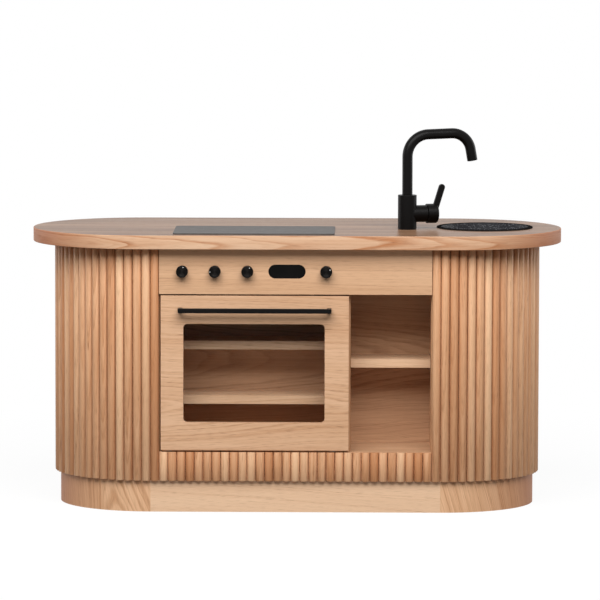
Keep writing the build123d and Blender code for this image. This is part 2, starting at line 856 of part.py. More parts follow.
# Spout: one bent tube that turns on the spigot of the tap body
spout_foot = tap_top + seat_clearance
with BuildPart() as tap_spout:
    with BuildLine(spout_plane) as spout_path:
        riser = Line((0, spout_foot), (0, spout_foot + spout_riser))
        first_bend = JernArc(riser @ 1, riser % 1, first_bend_radius, spout_rise_angle - 90)
        run = Line(first_bend @ 1, first_bend @ 1 + (first_bend % 1) * spout_run)
        second_angle = outlet_lean - 90 - spout_rise_angle
        second_bend = JernArc(run @ 1, run % 1, second_bend_radius, second_angle)
        outlet = Line(second_bend @ 1, second_bend @ 1 + (second_bend % 1) * outlet_length)
    with BuildSketch(Plane(origin=(tap_x, tap_y, spout_foot), z_dir=(0, 0, 1))):
        Circle(pipe_radius)
        Circle(pipe_bore, mode=Mode.SUBTRACT)
    sweep(path=spout_path.line)
finish(tap_spout, "tap_spout")

outlet_end = outlet @ 1
outlet_plane = Plane(origin=outlet_end, x_dir=(-turn_y, turn_x, 0), z_dir=outlet % 1)
with BuildPart() as spout_aerator:
    with BuildSketch(outlet_plane):
        Circle(pipe_bore - thread_clearance)
        Circle(aerator_hole_radius, mode=Mode.SUBTRACT)
        with PolarLocations(aerator_hole_circle, aerator_holes):
            Circle(aerator_hole_radius, mode=Mode.SUBTRACT)
    extrude(amount=-aerator_length)
finish(spout_aerator, "spout_aerator")

# Lever: a cap that turns on the end of the side arm, with a blade let into it
cap_start = tap_arm_reach + cap_gap
cap_bore_depth = cap_pin_length - cap_gap + cap_end_clearance
lean_x, lean_y = sin(radians(lever_lean)), cos(radians(lever_lean))
lever_middle = (
    cap_start + lever_offset + lean_x * lever_length / 2,
    lever_root + lean_y * lever_length / 2,
)
lever_plane = Plane(origin=arm_origin, x_dir=(turn_x, turn_y, 0), z_dir=(turn_y, -turn_x, 0))

with BuildPart() as tap_lever:
    with BuildSketch(lever_plane):
        with Locations(lever_middle):
            SlotCenterToCenter(lever_length, lever_width, rotation=90 - lever_lean)
    extrude(amount=lever_thickness / 2, both=True)
    fillet(tap_lever.edges(), radius=lever_round)
finish(tap_lever, "tap_lever")

with BuildPart() as tap_lever_cap:
    with BuildSketch(arm_plane.offset(cap_start)):
        Circle(cap_radius)
    extrude(amount=cap_length)
    cap_axis = Axis(arm_origin, (turn_x, turn_y, 0))
    fillet(tap_lever_cap.edges().group_by(cap_axis)[-1], radius=cap_round)
    with BuildSketch(arm_plane.offset(cap_start)):
        Circle(cap_pin_radius + running_clearance)
    extrude(amount=cap_bore_depth, mode=Mode.SUBTRACT)
    add(tap_lever.part, mode=Mode.SUBTRACT)
finish(tap_lever_cap, "tap_lever_cap")
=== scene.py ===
from math import cos, pi, radians, sin, tan

import bpy
import numpy as np
from mathutils import Euler, Matrix, Vector
from mathutils.geometry import delaunay_2d_cdt


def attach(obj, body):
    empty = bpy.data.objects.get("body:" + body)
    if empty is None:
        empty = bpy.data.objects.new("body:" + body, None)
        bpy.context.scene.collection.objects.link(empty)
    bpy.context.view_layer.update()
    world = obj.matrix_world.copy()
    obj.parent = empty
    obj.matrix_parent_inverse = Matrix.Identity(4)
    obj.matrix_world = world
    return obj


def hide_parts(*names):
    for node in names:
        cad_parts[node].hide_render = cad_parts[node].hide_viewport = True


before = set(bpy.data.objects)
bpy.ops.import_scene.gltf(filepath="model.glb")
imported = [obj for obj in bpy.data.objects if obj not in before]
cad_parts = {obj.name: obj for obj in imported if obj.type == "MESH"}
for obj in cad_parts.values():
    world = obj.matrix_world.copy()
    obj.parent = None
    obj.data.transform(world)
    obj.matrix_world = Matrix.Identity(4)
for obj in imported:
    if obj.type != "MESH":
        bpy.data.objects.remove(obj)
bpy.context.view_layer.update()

MM = 0.001


# Meshes: every shape is worked out in millimetres and put into metres at the end

SHARP_ANGLE = radians(40)
ROUND_STEPS = 5        # rows over a rounded edge
FLAT_MARGIN = 0.3      # from that edge to one more row, which keeps a flat face's shading flat


def piece(name, points, faces, body, material, slot, replaced=None):
    """Makes a mesh from points and faces, smooth but for edges sharper than SHARP_ANGLE."""
    mesh = bpy.data.meshes.new(name)
    mesh.from_pydata((np.asarray(points, float).reshape(-1, 3) * MM).tolist(), [], faces)
    mesh.update()
    mesh.shade_smooth()
    mesh.set_sharp_from_angle(angle=SHARP_ANGLE)
    mesh.materials.append(material)
    made = bpy.data.objects.new(name, mesh)
    bpy.context.scene.collection.objects.link(made)
    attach(made, body)
    if replaced:
        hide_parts(replaced)
    return made


def second_material(made, material, measure, least):
    """Gives another material to the faces whose normal's or centre's z is above a value."""
    made.data.materials.append(material)
    values = np.zeros(3 * len(made.data.polygons), np.float32)
    made.data.polygons.foreach_get(measure, values)
    made.data.polygons.foreach_set("material_index", (values[2::3] > least).astype(np.int32))


def keep_places(made, name, places):
    """Keeps a place in millimetres for each point, as an attribute in metres."""
    values = (np.asarray(places) * MM).astype(np.float32).ravel()
    made.data.attributes.new(name, "FLOAT_VECTOR", "POINT").data.foreach_set("vector", values)


def joined(*shapes):
    """Puts (points, faces) shapes together, each one's face numbers raised by the points before it."""
    starts = np.cumsum([0] + [len(points) for points, _ in shapes])
    faces = []
    for (_, own), start in zip(shapes, starts):
        ends = np.cumsum([len(face) for face in own])[:-1]
        faces += np.split(np.concatenate(own) + start, ends)
    return np.concatenate([points for points, _ in shapes]), faces


def grid_faces(rows, columns, wrap_rows=False, wrap_columns=False, start=0):
    """Quads over a grid whose point in row i, column j has number start + i * columns + j."""
    i = np.arange(rows if wrap_rows else rows - 1)[:, None]
    j = np.arange(columns if wrap_columns else columns - 1)[None, :]
    down, right = (i + 1) % rows, (j + 1) % columns
    quads = np.stack([i * columns + j, i * columns + right, down * columns + right, down * columns + j], -1)
    return (quads.reshape(-1, 4) + start).tolist()


def rounded(corners, radii, steps=8, closed=True):
    """A line through corners, each turned into an arc of its radius.

    With half the corner's angle h, an arc starts and ends at radius / tan h from the corner and
    is centre + (start * sin((1 - s) a) + end * sin(s a)) / sin a, where a = 180 degrees - 2 h.
    """
    corners = np.asarray(corners, float)
    radii = np.broadcast_to(radii, len(corners))
    s = np.linspace(0, 1, steps + 1)[:, None]
    runs = []
    for k, (corner, radius) in enumerate(zip(corners, radii)):
        if radius == 0 or (not closed and k in (0, len(corners) - 1)):
            runs.append(corner[None])
            continue
        back = corners[k - 1] - corner
        on = corners[(k + 1) % len(corners)] - corner
        back, on = back / np.linalg.norm(back), on / np.linalg.norm(on)
        half = np.arccos(back @ on) / 2
        centre = corner + (back + on) / np.linalg.norm(back + on) * radius / sin(half)
        start, end = (corner + way * radius / tan(half) - centre for way in (back, on))
        a = pi - 2 * half
        runs.append(centre + (start * np.sin((1 - s) * a) + end * np.sin(s * a)) / sin(a))
    return np.concatenate(runs)


def rectangle(width, height, radius, x=0.0, y=0.0):
    """A counter-clockwise rectangle with round corners about (x, y)."""
    corners = np.array([(1, 1), (-1, 1), (-1, -1), (1, -1)]) * (width / 2, height / 2)
    return rounded(corners, radius) + (x, y)


def circle(radius, x=0.0, y=0.0, steps=96):
    """A counter-clockwise circle: centre plus radius times cosine and sine."""
    angles = np.arange(steps) * 2 * pi / steps
    return np.stack([np.cos(angles), np.sin(angles)], -1) * radius + (x, y)


def arc(radius, start, end, x=0.0, y=0.0, steps=96):
    """Points at radius about (x, y) from one angle to another, in degrees."""
    angles = np.radians(np.linspace(start, end, steps + 1))
    return np.stack([np.cos(angles), np.sin(angles)], -1) * radius + (x, y)


def capsule(between, radius, steps=24):
    """Two half circles whose centres lie between apart along x, with straight sides."""
    return np.concatenate([arc(radius, -90, 90, between / 2, steps=steps),
                           arc(radius, 90, 270, -between / 2, steps=steps)])


def outwards(loop):
    """Unit normals on the right of a loop's direction, from the difference of its neighbours."""
    ahead = np.roll(loop, -1, 0) - np.roll(loop, 1, 0)
    normals = np.stack([ahead[:, 1], -ahead[:, 0]], -1)
    return normals / np.linalg.norm(normals, axis=1)[:, None]


def slab(loops, low, high, over=0.0):
    """A board of any outline, from low to high, whose edges are rounded over.

    The first loop is the outline, counter-clockwise, and the rest are holes, clockwise. Each wall
    is the loop moved inwards by over * (1 - sin t) at a height of over * (1 - cos t) from the face,
    for t up to 90 degrees. The two faces are triangulated between the walls' last rows.
    """
    t = np.linspace(0, pi / 2, ROUND_STEPS + 1) if over else np.array([pi / 2])
    inset = np.concatenate([[over + FLAT_MARGIN], over * (1 - np.sin(t))])
    rise = np.concatenate([[0.0], over * (1 - np.cos(t))])
    inset = np.concatenate([inset, inset[::-1]])
    level = np.concatenate([low + rise, high - rise[::-1]])
    rows, walls, faces, start = len(level), [], [], 0
    lows, highs, rings, first = [], [], [], 0
    for loop in loops:
        count = len(loop)
        wall = loop[None] - outwards(loop)[None] * inset[:, None, None]
        heights = np.broadcast_to(level[:, None, None], (rows, count, 1))
        walls.append(np.concatenate([wall, heights], -1).reshape(-1, 3))
        faces += grid_faces(rows, count, wrap_columns=True, start=start)
        own = np.arange(count)
        lows.append(start + own)
        highs.append(start + (rows - 1) * count + own)
        rings.append((first + own).tolist())
        first, start = first + count, start + rows * count
    points = np.concatenate(walls)
    lows, highs = np.concatenate(lows), np.concatenate(highs)
    triangles = np.array(delaunay_2d_cdt(points[lows, :2].tolist(), [], rings, 2, 1e-6)[2])
    faces += lows[triangles][:, ::-1].tolist() + highs[triangles].tolist()
    return points, faces


def turned(profile, steps=64, closed=False):
    """Turns a profile of (radius, height), run counter-clockwise, round the Z axis. An open
    profile ends in two small caps on the axis."""
    profile = np.asarray(profile, float)
    ring = circle(1.0, steps=steps)
    across = profile[:, None, :1] * ring[None]
    up = np.broadcast_to(profile[:, None, 1:], (*across.shape[:2], 1))
    points = np.concatenate([across, up], -1).reshape(-1, 3)
    faces = grid_faces(len(profile), steps, wrap_rows=closed, wrap_columns=True)
    if not closed:
        last = len(points) - steps
        faces += [list(range(steps))[::-1], list(range(last, last + steps))]
    return points, faces


def bent_tube(path, across, outer, bore, over, steps=40):
    """A tube along a flat path: each ring is path + r * (cos a * normal + sin a * across), where
    normal = across x ahead, out along the outer wall, over the rounded end and back in the bore."""
    ahead = np.gradient(path, axis=0)
    ahead /= np.linalg.norm(ahead, axis=1)[:, None]
    t = np.linspace(0, pi / 2, ROUND_STEPS)[:, None]
    end = path[-1] - ahead[-1] * over * (1 - np.sin(t))
    centres = np.concatenate([path[:-1], end, path[-1:], path[::-1]])
    ways = np.concatenate([ahead[:-1], np.repeat(ahead[-1:], len(t) + 1, 0), ahead[::-1]])
    radii = np.concatenate([np.full(len(path) - 1, outer), (outer - over * (1 - np.cos(t)))[:, 0],
                            [bore + 0.2], np.full(len(path), bore)])
    a = np.arange(steps) * 2 * pi / steps
    normals = np.cross(across, ways)
    ring = np.cos(a)[None, :, None] * normals[:, None] + np.sin(a)[None, :, None] * across
    points = centres[:, None] + ring * radii[:, None, None]
    return points.reshape(-1, 3), grid_faces(len(centres), steps, wrap_rows=True, wrap_columns=True)


def placed(shape, origin, x_axis, z_axis):
    """Carries a shape from its own axes to origin + x * x_axis + y * (z_axis x x_axis) + z * z_axis."""
    points, faces = shape
    x_axis, z_axis = np.asarray(x_axis, float), np.asarray(z_axis, float)
    axes = np.stack([x_axis, np.cross(z_axis, x_axis), z_axis])
    return points @ axes + np.asarray(origin, float), faces


# Materials

def linear(code):
    """sRGB hex such as "D2A883" as linear RGBA: ((c + 0.055) / 1.055) ** 2.4 above the toe."""
    srgb = np.array([int(code[i:i + 2], 16) for i in (0, 2, 4)]) / 255
    rgb = np.where(srgb <= 0.04045, srgb / 12.92, ((srgb + 0.055) / 1.055) ** 2.4)
    return (*rgb.tolist(), 1.0)


def add_node(tree, kind, inputs=(), stops=(), **settings):
    """Adds a node, makes its settings, and fills its inputs with values or with links."""
    made = tree.nodes.new("ShaderNode" + kind)
    for key, value in settings.items():
        setattr(made, key, value)
    for key, value in dict(inputs).items():
        if isinstance(value, bpy.types.NodeSocket):
            tree.links.new(value, made.inputs[key])
        else:
            made.inputs[key].default_value = value
    for index, (position, colour) in enumerate(stops):
        ramp = made.color_ramp.elements
        stop = ramp[index] if index < 2 else ramp.new(position)
        stop.position, stop.color = position, colour
    return made


def new_material(name, **values):
    """A material with its shader's plain sockets set: (material, tree, shader, object place)."""
    made = bpy.data.materials.new(name)
    made.use_nodes = True
    shader = made.node_tree.nodes["Principled BSDF"]
    for key, value in values.items():
        shader.inputs[key.replace("_", " ")].default_value = value
    place = add_node(made.node_tree, "TexCoord").outputs["Object"]
    return made, made.node_tree, shader, place


# Oak: flat-sawn boards under a clear matt lacquer. Porous early wood makes darker lines, which
# open into flames where the saw met the rings flat, and the pale late wood lies between them.
# Pores are about 0.3 mm wide and 10 mm long. They are drawn 1 mm wide and 22 mm long, or they
# wouldn't show. The grain runs along the log's own Z, and a turn lays it along X or leans it.

ALONG_X = (0, -pi / 2, 0)
UPRIGHT = (0, 0, 0)
LEANING = (0, 0.2, 0)

# Cells of each noise in a metre, across the log twice and along it
WANDER_CELLS = (10, 10, 2.4)       # 100 mm by 420 mm
FINE_CELLS = (210, 210, 5)         # streaks of 5 mm by 200 mm
BROAD_CELLS = (24, 24, 2)          # streaks of 42 mm by 500 mm
PORE_CELLS = (900, 900, 45)        # 1.1 mm by 22 mm
STRIP_PALE, STRIP_RED, END_SHADE, PORE_BROWN = "E6BE97", "B5774B", "A35A2E", "6E4427"


def oak(name, light, deep, heart, turn=ALONG_X, ring_width=6.0, wander=12.0, taper=0.05,
        ring_strength=0.5, streaks=0.35, pores=0.4, roughness=0.5, specular=0.25, follows=None,
        strips=False, ends=None):
    """Rings are the distance from a heart line along the grain, divided by the ring width, after
    a slow noise has moved the line and another has made the years unequal. Lengths are in mm.
    The pattern may follow an attribute. Strips take their own tone and their own place in the
    log, and with ends the wood turns redder and darker between two distances from the middle,
    a painted shade where a curved edge turns away from the light."""
    material, tree, shader, place = new_material(name, Specular_IOR_Level=specular)
    if follows:
        place = add_node(tree, "Attribute", attribute_name=follows).outputs["Vector"]
    if strips:
        seed = add_node(tree, "Attribute", attribute_name="strip_seed").outputs["Vector"]
        place = add_node(tree, "VectorMath", {0: seed, 1: place}, operation="ADD").outputs[0]
    back = -(Euler(turn).to_matrix() @ Vector(heart)) * MM
    log = add_node(tree, "Mapping", {"Vector": place, "Rotation": turn, "Location": back}).outputs[0]

    # Rings: the place is moved across the grain, its distance from the heart grows along the log,
    # and each year starts dark with early wood and has its own strength
    slow = add_node(tree, "VectorMath", {0: log, 1: WANDER_CELLS}, operation="MULTIPLY").outputs[0]
    bend = add_node(tree, "TexNoise", {"Vector": slow, "Scale": 1.0, "Detail": 4.0, "Roughness": 0.45})
    bend = add_node(tree, "VectorMath", {0: bend.outputs["Color"], 1: (0.5, 0.5, 0.5)}, operation="SUBTRACT")
    bend = add_node(tree, "VectorMath", {0: bend.outputs[0], 1: (wander * MM * 2, wander * MM * 2, 0)},
                    operation="MULTIPLY")
    off = add_node(tree, "VectorMath", {0: log, 1: bend.outputs[0]}, operation="ADD")
    flat = add_node(tree, "VectorMath", {0: off.outputs[0], 1: (1, 1, 0)}, operation="MULTIPLY")
    reach = add_node(tree, "VectorMath", {0: flat.outputs[0]}, operation="LENGTH").outputs["Value"]
    up = add_node(tree, "SeparateXYZ", {0: log}).outputs["Z"]
    lean = add_node(tree, "Math", {0: up, 1: taper, 2: reach}, operation="MULTIPLY_ADD").outputs[0]
    even = add_node(tree, "Math", {0: lean, 1: ring_width * MM}, operation="DIVIDE").outputs[0]
    uneven = add_node(tree, "TexNoise", {"W": even, "Scale": 0.45, "Detail": 1.0}, noise_dimensions="1D")
    years = add_node(tree, "Math", {0: uneven.outputs["Fac"], 1: 3.0, 2: even},
                     operation="MULTIPLY_ADD").outputs[0]
    year = add_node(tree, "Math", {0: years}, operation="FLOOR").outputs[0]
    age = add_node(tree, "Math", {0: years}, operation="FRACT").outputs[0]
    year_tone = add_node(tree, "TexWhiteNoise", {"W": year}, noise_dimensions="1D").outputs["Value"]
    early = add_node(tree, "ValToRGB", {"Fac": age}, stops=(
        (0.0, (0.1, 0.1, 0.1, 1)), (0.12, (1, 1, 1, 1)), (0.6, (0.1, 0.1, 0.1, 1)), (1.0, (0, 0, 0, 1))))
    strength = add_node(tree, "Math", {0: year_tone, 1: 0.9, 2: 0.1}, operation="MULTIPLY_ADD").outputs[0]
    early = add_node(tree, "Math", {0: early.outputs["Color"], 1: strength}, operation="MULTIPLY").outputs[0]

    # Fine and broad streaks along the grain, and pores, which crowd in the early wood
    fine = add_node(tree, "VectorMath", {0: log, 1: FINE_CELLS}, operation="MULTIPLY").outputs[0]
    fine = add_node(tree, "TexNoise", {"Vector": fine, "Scale": 1.0, "Detail": 5.0, "Roughness": 0.65})
    fine = add_node(tree, "MapRange", {0: fine.outputs["Fac"], 1: 0.3, 2: 0.7}).outputs[0]
    broad = add_node(tree, "VectorMath", {0: log, 1: BROAD_CELLS}, operation="MULTIPLY").outputs[0]
    broad = add_node(tree, "TexNoise", {"Vector": broad, "Scale": 1.0, "Detail": 2.0})
    broad = add_node(tree, "MapRange", {0: broad.outputs["Fac"], 1: 0.32, 2: 0.68}).outputs[0]
    pore = add_node(tree, "VectorMath", {0: log, 1: PORE_CELLS}, operation="MULTIPLY").outputs[0]
    pore = add_node(tree, "TexNoise", {"Vector": pore, "Scale": 1.0, "Detail": 1.0})
    pore = add_node(tree, "MapRange", {0: pore.outputs["Fac"], 1: 0.52, 2: 0.68}).outputs[0]
    crowd = add_node(tree, "Math", {0: early, 1: 0.8, 2: 0.25}, operation="MULTIPLY_ADD").outputs[0]
    pore = add_node(tree, "Math", {0: pore, 1: crowd}, operation="MULTIPLY").outputs[0]

    # Colour: from light to deep by rings and streaks, then the strip's tone, the painted shade at the ends
    # and the pores
    dark = add_node(tree, "Math", {0: early, 1: ring_strength}, operation="MULTIPLY").outputs[0]
    dark = add_node(tree, "Math", {0: fine, 1: streaks, 2: dark}, operation="MULTIPLY_ADD").outputs[0]
    dark = add_node(tree, "Math", {0: broad, 1: streaks, 2: dark}, operation="MULTIPLY_ADD", use_clamp=True)
    layers = [(dark.outputs[0], deep)]
    if strips:
        tone = add_node(tree, "Attribute", attribute_name="strip_tone").outputs["Fac"]
        paler = add_node(tree, "MapRange", {0: tone, 1: 0.6, 2: 1.0, 3: 0.0, 4: 0.6}).outputs[0]
        redder = add_node(tree, "MapRange", {0: tone, 1: 0.5, 2: 0.0, 3: 0.0, 4: 0.7}).outputs[0]
        layers += [(paler, STRIP_PALE), (redder, STRIP_RED)]
    # Painted shade: towards the curved ends, which turn away from the light, the wood is drawn redder and
    # darker
    if ends:
        along = add_node(tree, "SeparateXYZ", {0: place}).outputs["X"]
        along = add_node(tree, "Math", {0: along}, operation="ABSOLUTE").outputs[0]
        across = add_node(tree, "MapRange", {0: along, 1: ends[0] * MM, 2: ends[1] * MM, 4: 0.75}).outputs[0]
        layers += [(across, END_SHADE)]
    layers += [(add_node(tree, "Math", {0: pore, 1: pores}, operation="MULTIPLY").outputs[0], PORE_BROWN)]
    colour = linear(light)
    for share, tone in layers:
        colour = add_node(tree, "Mix", {0: share, 6: colour, 7: linear(tone)}, data_type="RGBA").outputs[2]
    tree.links.new(colour, shader.inputs["Base Color"])

    # Open pores are rougher and 0.2 mm deep
    rough = add_node(tree, "Math", {0: pore, 1: 0.15, 2: roughness}, operation="MULTIPLY_ADD").outputs[0]
    tree.links.new(rough, shader.inputs["Roughness"])
    hollow = add_node(tree, "Math", {0: pore, 1: -0.7, 2: 1.0}, operation="MULTIPLY_ADD").outputs[0]
    bump = add_node(tree, "Bump", {"Height": hollow, "Strength": 0.25, "Distance": 0.2 * MM})
    tree.links.new(bump.outputs[0], shader.inputs["Normal"])
    return material


slat_oak = oak("lacquered oak strip", "E4B58D", "B67F56", (12, 30, 0), UPRIGHT, ring_width=5.0, wander=8,
               taper=0.03, streaks=0.4, pores=0.55, strips=True)
panel_oak = oak("lacquered oak control board", "D8AF8B", "B98C67", (0, -100, 400), ring_width=3.5,
                wander=8, taper=0.02, ring_strength=0.35, streaks=0.3)
door_oak = oak("lacquered oak door board", "DEB694", "BE8F69", (-90, -175, 240), ring_width=4.5,
               wander=14, pores=0.5)
# The shelves are painted paler than the door board, a painted light for the light their front edges catch
# through the window
paled_shelf_oak = oak("lacquered oak shelf, painted paler", "E1BC9A", "C69B76", (60, -120, 300), ring_width=4.5, wander=10)
lining_oak = oak("lacquered oak lining", "CEA582", "9C7353", (150, 40, 330), wander=20, taper=0.06,
                 ring_strength=0.45, roughness=0.6)
upright_oak = oak("lacquered oak upright", "D0A27B", "A57650", (260, 40, 300), UPRIGHT, wander=20,
                  taper=0.06, ring_strength=0.4, roughness=0.6)
plinth_oak = oak("lacquered oak plinth board", "E8C4A2", "D2A986", (0, -120, -60), ring_width=3.5,
                 wander=8, ring_strength=0.3, streaks=0.25)
# The bent plinth's far ends, 400 to 620 mm out, are painted redder and darker as shade
bend_oak = oak("bent oak plinth", "EDC29B", "BE8C64", (-400, -150, 0), LEANING, ring_width=5.5, wander=18,
               taper=0.08, ring_strength=0.6, follows="board_place", ends=(400, 620))

# The worktop is one board with two materials. Its edge is pale, and drawn redder and darker towards the round
# ends as painted shade; its face is smoother, and its colour is painted darker all over as shade
WORKTOP_LOG = dict(heart=(300, -225, 606), ring_width=5.0, wander=16, taper=0.035, follows="board_place")
edge_oak = oak("lacquered oak worktop edge", "DDB999", "B27850", ring_strength=0.7, streaks=0.3,
               ends=(430, 600), **WORKTOP_LOG)
shaded_top_oak = oak("lacquered oak worktop face, painted darker", "A98468", "6A4D38", streaks=0.6, roughness=0.32,
              specular=0.07, **WORKTOP_LOG)


def mottled(name, per_metre, dark, light, rough=None, detail=2.0, contrast=None, **values):
    """A noise with so many cells in a metre along x, y and z goes between two tones and, where they
    are given, between two roughnesses: (material, tree, shader, noise). Contrast is the part of
    the noise that is spread from 0 to 1."""
    material, tree, shader, place = new_material(name, **values)
    noise = add_node(tree, "VectorMath", {0: place, 1: per_metre}, operation="MULTIPLY").outputs[0]
    noise = add_node(tree, "TexNoise", {"Vector": noise, "Scale": 1.0, "Detail": detail}).outputs["Fac"]
    if contrast:
        noise = add_node(tree, "MapRange", {0: noise, 1: contrast[0], 2: contrast[1]}).outputs[0]
    tone = add_node(tree, "Mix", {0: noise, 6: linear(dark), 7: linear(light)}, data_type="RGBA")
    tree.links.new(tone.outputs[2], shader.inputs["Base Color"])
    if rough:
        rough = add_node(tree, "MapRange", {0: noise, 3: rough[0], 4: rough[1]})
        tree.links.new(rough.outputs[0], shader.inputs["Roughness"])
    return material, tree, shader, noise


# Black powder coat on steel: a fine orange peel of about 0.6 mm softens every highlight
coat, tree, shader, peel = mottled("black powder coated steel", (1600, 1600, 1600), "060505", "0F0D0C",
                                   (0.28, 0.36), Specular_IOR_Level=0.09)
bump = add_node(tree, "Bump", {"Height": peel, "Strength": 0.3, "Distance": 0.08 * MM})
tree.links.new(bump.outputs[0], shader.inputs["Normal"])

# White enamel paint in the knobs' dots, with a slight mottle of 0.4 mm
dot_white = mottled("white enamel paint", (2500, 2500, 2500), "D9D7D2", "F2F0EC", Roughness=0.4)[0]

# Grey acrylic hob sheet: satin, and faintly clouded over 17 mm
hob_grey = mottled("grey acrylic sheet", (60, 60, 60), "524F4D", "5D5A58", (0.36, 0.44),
                   detail=5.0, contrast=(0.35, 0.65), Specular_IOR_Level=0.02)[0]

# Black polished display sheet with a faint cloud, 33 mm across, under the surface
display_black = mottled("black acrylic sheet", (30, 30, 30), "060606", "141312", (0.12, 0.2),
                        Specular_IOR_Level=0.05)[0]

# Clear acrylic pane: it takes about a thirtieth of the light, and shows a faint haze in 33 mm clouds
pane_clear = mottled("clear acrylic pane", (30, 30, 30), "1A1816", "2E2A27", IOR=1.49,
                     Alpha=0.03, Roughness=0.06)[0]

# Zinc plated steel: a crystalline mottle, drawn 1 mm wide and 3 mm high so that it shows
zinc = mottled("zinc plated steel", (900, 900, 300), "9C9A97", "C9C7C2", (0.28, 0.45),
               detail=3.0, Metallic=1.0)[0]

# Steel pins painted the colour of the shaded oak round them, a painted shade, with a faint mottle of 1 mm
shade_brown_pins = mottled("steel painted shade brown", (900, 900, 900), "6B4630", "8A5E42", Metallic=0.4,
                    Roughness=0.5)[0]

# Black nylon and rubber: moulded, with a spark-eroded texture of about 0.5 mm
moulded = mottled("moulded black nylon", (2000, 2000, 2000), "141211", "221F1D", (0.5, 0.65),
                  Specular_IOR_Level=0.2)[0]

# Black anodised aluminium, turned: fine rings round the knob's axis spread each highlight
# into two facing wedges. Real rings are finer; they are drawn 0.35 mm apart. The UV's Y is the
# radius in mm, so a sine of it gives the rings.
RING_SPACING = 0.35
knob_black, tree, shader, place = new_material("turned black aluminium", Metallic=1.0, Anisotropic=0.95,
                                               Anisotropic_Rotation=0.25)
rings = add_node(tree, "UVMap", uv_map="turned").outputs["UV"]
rings = add_node(tree, "SeparateXYZ", {0: rings}).outputs["Y"]
rings = add_node(tree, "Math", {0: rings, 1: 2 * pi / RING_SPACING}, operation="MULTIPLY").outputs[0]
rings = add_node(tree, "Math", {0: rings}, operation="SINE").outputs[0]
rings = add_node(tree, "MapRange", {0: rings, 1: -1.0, 2: 1.0}).outputs[0]
black = add_node(tree, "Mix", {0: rings, 6: linear("151413"), 7: linear("1F1D1C")}, data_type="RGBA")
tree.links.new(black.outputs[2], shader.inputs["Base Color"])
rough = add_node(tree, "MapRange", {0: rings, 3: 0.38, 4: 0.44})
tree.links.new(rough.outputs[0], shader.inputs["Roughness"])
round_axis = add_node(tree, "Tangent", direction_type="UV_MAP", uv_map="turned")
tree.links.new(round_axis.outputs[0], shader.inputs["Tangent"])


# Black vitreous enamel with light flecks about 1 mm across in cells of 2.4 mm, as on enamelled
# pans. The flat rim is matt, and drawn with a darker ground and fainter flecks as painted shade.

FLECK_CELLS = (420, 420, 420)


def flecked_enamel(name, ground, fleck_tone, specular, roughness):
    """A round fleck about the seed of a cell, in two cells out of three."""
    material, tree, shader, place = new_material(name, Specular_IOR_Level=specular)
    spots = add_node(tree, "VectorMath", {0: place, 1: FLECK_CELLS}, operation="MULTIPLY")
    spots = add_node(tree, "TexVoronoi", {"Vector": spots.outputs[0], "Scale": 1.0})
    fleck = add_node(tree, "MapRange", {0: spots.outputs["Distance"], 1: 0.32, 2: 0.2}).outputs[0]
    chance = add_node(tree, "SeparateXYZ", {0: spots.outputs["Color"]}).outputs[0]
    chance = add_node(tree, "Math", {0: chance, 1: 0.35}, operation="GREATER_THAN").outputs[0]
    fleck = add_node(tree, "Math", {0: fleck, 1: chance}, operation="MULTIPLY").outputs[0]
    tone = add_node(tree, "Mix", {0: fleck, 6: linear(ground), 7: linear(fleck_tone)}, data_type="RGBA")
    tree.links.new(tone.outputs[2], shader.inputs["Base Color"])
    rough = add_node(tree, "MapRange", {0: fleck, 3: roughness, 4: 0.5})
    tree.links.new(rough.outputs[0], shader.inputs["Roughness"])
    return material


enamel = flecked_enamel("flecked black enamel", "2C2C2F", "8C8C90", 0.05, 0.35)
shaded_enamel_rim = flecked_enamel("black enamel, rim in painted shade", "1B1A1A", "38383A", 0.0, 0.6)

# The flat boards, the pane and the small metal and moulded pieces keep their solids and take a finish

FINISHES = {
    lining_oak: ("base_deck", "cabinet_floor", "ceiling_board", "compartment_back_panel", "apron_board",
                 "back_wall", "top_frame", "pane_retainer"),
    upright_oak: ("left_partition", "right_partition", "divider", "plinth_blocks", "left_end_shell",
                  "right_end_shell"),
    paled_shelf_oak: ("oven_lower_shelf", "oven_upper_shelf", "niche_shelf"),
    panel_oak: ("control_panel",),
    plinth_oak: ("plinth_front_board", "plinth_back_board"),
    door_oak: ("door_panel",),
    pane_clear: ("window_pane",),
    shade_brown_pins: ("shelf_pins",),
    zinc: ("sink_strainer", "knob_nuts", "knob_shaft_1", "knob_shaft_2", "knob_shaft_3",
           "knob_shaft_4", "handle_screws", "strike_plates", "hinge_pins", "hinge_brackets", "tap_back_nut"),
    moulded: ("knob_bushings", "door_catches", "spout_aerator", "tap_gasket"),
}
for material, names in FINISHES.items():
    for name in names:
        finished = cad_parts[name].data.materials
        finished.clear()
        finished.append(material)

# Levels and plan, shared by all that follows

PLINTH_TOP, APRON_TOP, WORKTOP_UNDERSIDE, WORKTOP = 71.0, 136.0, 594.0, 625.0
PITCH, FRONT_SLATS, END_SLATS = 19.7, 33, 34
BODY_RADIUS, STRAIGHT_HALF = 214.0, FRONT_SLATS * PITCH / 2
FRONT_FACE = -BODY_RADIUS - 9.0
UPWARDS = ((1, 0, 0), (0, 0, 1))       # a placed piece's x and z axes
FORWARDS = ((1, 0, 0), (0, -1, 0))

# Slats: half-round strips, each cut from its own place in the log

SLAT_WIDTH, SLAT_DEPTH, CHEEK, EASED = 18.7, 12.0, 3.5, 0.6


def slat_profile(inset):
    """A strip's section, (outwards, across): flat back, short cheeks and a round front, drawn in
    towards its middle by inset / half its width."""
    half, rise = SLAT_WIDTH / 2, SLAT_DEPTH - CHEEK
    radius = (half ** 2 + rise ** 2) / (2 * rise)
    angles = np.linspace(-1, 1, 17) * np.arcsin(half / radius)
    front = np.stack([SLAT_DEPTH - radius + radius * np.cos(angles), radius * np.sin(angles)], -1)
    loop = np.concatenate([[[0, -half]], front, [[0, half]]])
    middle = np.array([SLAT_DEPTH / 2, 0])
    return middle + (loop - middle) * (1 - inset / half)


